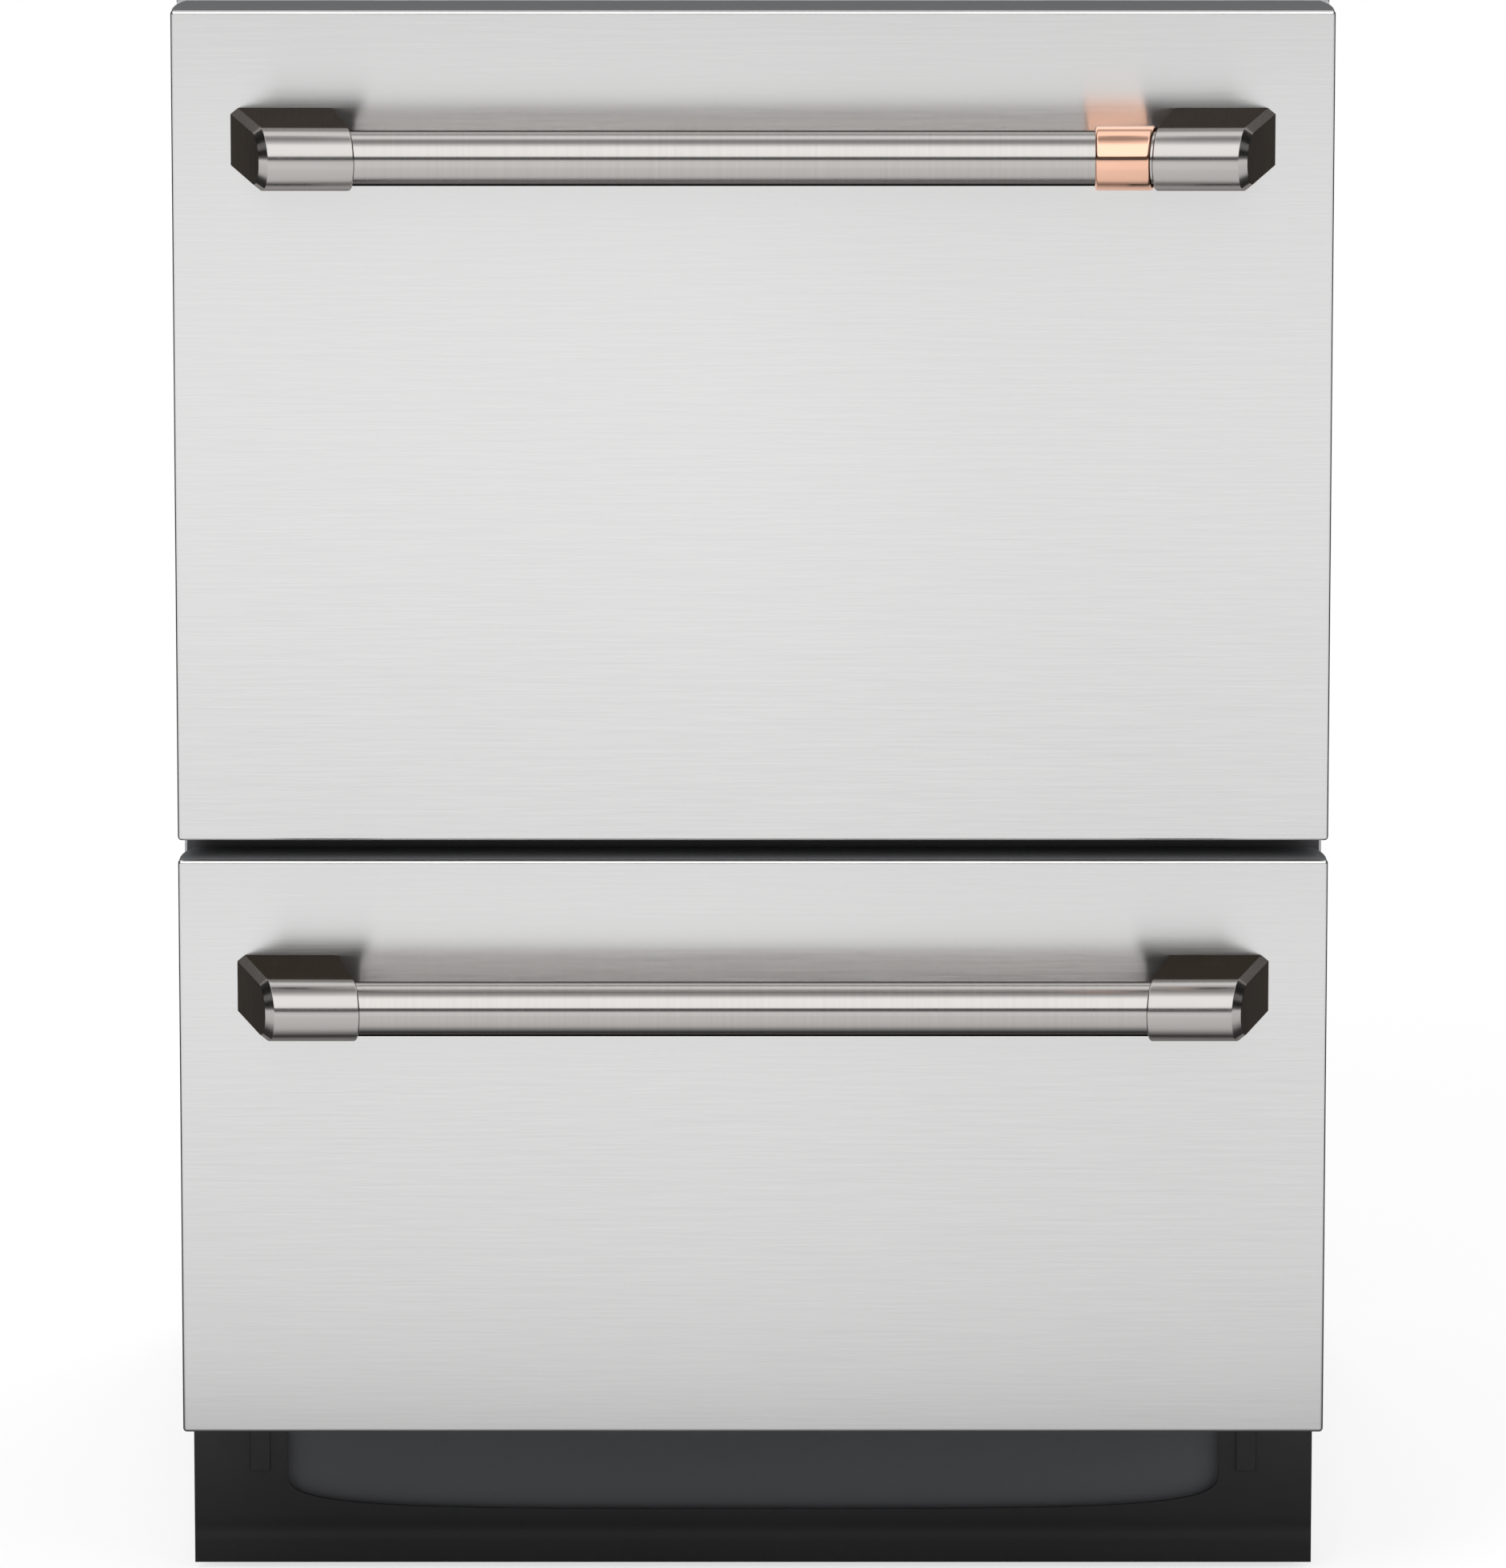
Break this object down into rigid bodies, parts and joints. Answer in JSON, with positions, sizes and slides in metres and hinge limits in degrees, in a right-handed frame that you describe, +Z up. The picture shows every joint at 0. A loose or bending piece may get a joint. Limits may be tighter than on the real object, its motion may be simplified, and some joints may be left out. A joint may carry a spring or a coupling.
{
  "type": "double drawer dishwasher",
  "caption": "Built-in dishwasher with two pull-out wash drawers, brushed steel fronts and round bar handles, standing on levelling feet.",
  "frame": {"origin": "bottom centre of the whole object's box, on the floor under the machine", "axes": "+Z up, -Y the way the doors face, +X towards the right-hand side seen from the front"},
  "size_m": [0.599, 0.6364, 0.863],
  "materials": {
    "galvanised": "satin galvanised sheet",
    "dark_steel": "satin dark paint",
    "black_paint": "satin black paint",
    "grey_panel": "matt dark grey paint",
    "runner_steel": "bright zinc plating",
    "dark_plastic": "moulded",
    "white_plastic": "moulded",
    "black_plastic": "moulded",
    "screw_steel": "zinc plated",
    "tub_plastic": "moulded grey",
    "stainless": "brushed along its width",
    "trim_plastic": "fine moulded texture",
    "strip_plastic": "glossy black",
    "button_plastic": "silver lacquer",
    "stainless_bar": "fine brushed round bar",
    "cap_metal": "warm dark satin metal",
    "copper": "polished copper",
    "lid_plastic": "moulded grey",
    "seal_rubber": "soft black rubber",
    "arm_plastic": "moulded grey",
    "dispenser_plastic": "moulded light grey",
    "flap_plastic": "moulded blue grey",
    "filter_steel": "perforated",
    "rack_wire": "grey nylon coated wire",
    "basket_plastic": "moulded grey"
  },
  "bodies": {
    "cabinet": {"left_side_panel": "galvanised", "right_side_panel": "galvanised", "top_panel": "galvanised", "back_panel": "galvanised", "base_tray": "galvanised", "mid_rail": "dark_steel", "kick_plate": "black_paint", "plinth_panel": "grey_panel", "cabinet_rails": "runner_steel", "lid_lifters": "dark_plastic", "inlet_valve": "white_plastic", "drain_connector": "black_plastic", "junction_box": "galvanised", "cabinet_screws": "screw_steel"},
    "front_left_foot_screw": {"front_left_foot": "black_plastic"},
    "front_right_foot_screw": {"front_right_foot": "black_plastic"},
    "rear_left_foot_screw": {"rear_left_foot": "black_plastic"},
    "rear_right_foot_screw": {"rear_right_foot": "black_plastic"},
    "upper_drawer": {"upper_tub": "tub_plastic", "upper_front_skin": "stainless", "upper_front_liner": "trim_plastic", "upper_control_strip": "strip_plastic", "upper_handle_bar": "stainless_bar", "upper_handle_caps": "cap_metal", "upper_handle_band": "copper", "upper_drawer_rails": "runner_steel", "upper_wash_motor": "dark_plastic", "upper_dispenser": "dispenser_plastic", "upper_filter_plate": "filter_steel"},
    "upper_runner": {"upper_middle_rails": "runner_steel"},
    "upper_lid_set": {"upper_lid": "lid_plastic", "upper_lid_rods": "screw_steel", "upper_lid_seal": "seal_rubber"},
    "upper_arm": {"upper_spray_arm": "arm_plastic"},
    "upper_cover": {"upper_detergent_flap": "flap_plastic"},
    "upper_rinse_knob": {"upper_rinse_cap": "flap_plastic"},
    "upper_dish_rack": {"upper_rack": "rack_wire"},
    "upper_key": {"upper_power_button": "button_plastic"},
    "upper_shelf": {"upper_cup_rack": "rack_wire"},
    "upper_basket": {"upper_cutlery_basket": "basket_plastic"},
    "lower_drawer": {"lower_tub": "tub_plastic", "lower_front_skin": "stainless", "lower_front_liner": "trim_plastic", "lower_control_strip": "strip_plastic", "lower_handle_bar": "stainless_bar", "lower_handle_caps": "cap_metal", "lower_drawer_rails": "runner_steel", "lower_wash_motor": "dark_plastic", "lower_dispenser": "dispenser_plastic", "lower_filter_plate": "filter_steel"},
    "lower_runner": {"lower_middle_rails": "runner_steel"},
    "lower_lid_set": {"lower_lid": "lid_plastic", "lower_lid_rods": "screw_steel", "lower_lid_seal": "seal_rubber"},
    "lower_arm": {"lower_spray_arm": "arm_plastic"},
    "lower_cover": {"lower_detergent_flap": "flap_plastic"},
    "lower_rinse_knob": {"lower_rinse_cap": "flap_plastic"},
    "lower_dish_rack": {"lower_rack": "rack_wire"},
    "lower_key": {"lower_power_button": "button_plastic"},
    "lower_fold": {"lower_fold_tines": "rack_wire"}
  },
  "joints": [
    {"name": "front_left_foot_level", "type": "slide", "parent": "cabinet", "child": "front_left_foot_screw", "axis": [0, 0, -1], "range_m": [0, 0.06]},
    {"name": "front_right_foot_level", "type": "slide", "parent": "cabinet", "child": "front_right_foot_screw", "axis": [0, 0, -1], "range_m": [0, 0.06]},
    {"name": "rear_left_foot_level", "type": "slide", "parent": "cabinet", "child": "rear_left_foot_screw", "axis": [0, 0, -1], "range_m": [0, 0.06]},
    {"name": "rear_right_foot_level", "type": "slide", "parent": "cabinet", "child": "rear_right_foot_screw", "axis": [0, 0, -1], "range_m": [0, 0.06]},
    {"name": "upper_drawer_slide", "type": "slide", "parent": "cabinet", "child": "upper_drawer", "axis": [0, -1, 0], "range_m": [0, 0.48]},
    {"name": "upper_runner_slide", "type": "slide", "parent": "cabinet", "child": "upper_runner", "axis": [0, -1, 0], "range_m": [0, 0.24]},
    {"name": "upper_lid_lift", "type": "slide", "parent": "cabinet", "child": "upper_lid_set", "axis": [0, 0, 1], "range_m": [0, 0.009]},
    {"name": "upper_arm_spin", "type": "hinge", "parent": "upper_drawer", "child": "upper_arm", "pos_m": [0, 0.0487, 0.492], "axis": [0, 0, 1], "continuous": true},
    {"name": "upper_cover_slide", "type": "slide", "parent": "upper_drawer", "child": "upper_cover", "axis": [-1, 0, 0], "range_m": [0, 0.064]},
    {"name": "upper_rinse_turn", "type": "hinge", "parent": "upper_drawer", "child": "upper_rinse_knob", "pos_m": [0.036, -0.1782, 0.768], "axis": [0, -1, 0], "range_deg": [0, 90]},
    {"name": "upper_rack_lift", "type": "slide", "parent": "upper_drawer", "child": "upper_dish_rack", "axis": [0, 0, -1], "range_m": [-0.075, 0]},
    {"name": "upper_key_press", "type": "slide", "parent": "upper_drawer", "child": "upper_key", "axis": [0, 0, -1], "range_m": [0, 0.0012], "stiffness_N_per_m": 600, "springref_m": -0.0008},
    {"name": "cup_rack_fold", "type": "hinge", "parent": "upper_dish_rack", "child": "upper_shelf", "pos_m": [-0.2494, 0.0487, 0.648], "axis": [0, -1, 0], "range_deg": [0, 92]},
    {"name": "basket_lift", "type": "slide", "parent": "upper_dish_rack", "child": "upper_basket", "axis": [0, 0, -1], "range_m": [-0.12, 0]},
    {"name": "lower_drawer_slide", "type": "slide", "parent": "cabinet", "child": "lower_drawer", "axis": [0, -1, 0], "range_m": [0, 0.48]},
    {"name": "lower_runner_slide", "type": "slide", "parent": "cabinet", "child": "lower_runner", "axis": [0, -1, 0], "range_m": [0, 0.24]},
    {"name": "lower_lid_lift", "type": "slide", "parent": "cabinet", "child": "lower_lid_set", "axis": [0, 0, 1], "range_m": [0, 0.009]},
    {"name": "lower_arm_spin", "type": "hinge", "parent": "lower_drawer", "child": "lower_arm", "pos_m": [0, 0.0487, 0.141], "axis": [0, 0, 1], "continuous": true},
    {"name": "lower_cover_slide", "type": "slide", "parent": "lower_drawer", "child": "lower_cover", "axis": [-1, 0, 0], "range_m": [0, 0.064]},
    {"name": "lower_rinse_turn", "type": "hinge", "parent": "lower_drawer", "child": "lower_rinse_knob", "pos_m": [0.036, -0.1782, 0.317], "axis": [0, -1, 0], "range_deg": [0, 90]},
    {"name": "lower_rack_lift", "type": "slide", "parent": "lower_drawer", "child": "lower_dish_rack", "axis": [0, 0, -1], "range_m": [-0.1, 0]},
    {"name": "lower_key_press", "type": "slide", "parent": "lower_drawer", "child": "lower_key", "axis": [0, 0, -1], "range_m": [0, 0.0012], "stiffness_N_per_m": 600, "springref_m": -0.0008},
    {"name": "tines_fold", "type": "hinge", "parent": "lower_dish_rack", "child": "lower_fold", "pos_m": [0, 0.0522, 0.169], "axis": [1, 0, 0], "range_deg": [0, 90]}
  ],
  "couplings": [
    {"joint": "upper_runner_slide", "follows": "upper_drawer_slide", "ratio": 0.5},
    {"joint": "lower_runner_slide", "follows": "lower_drawer_slide", "ratio": 0.5}
  ]
}
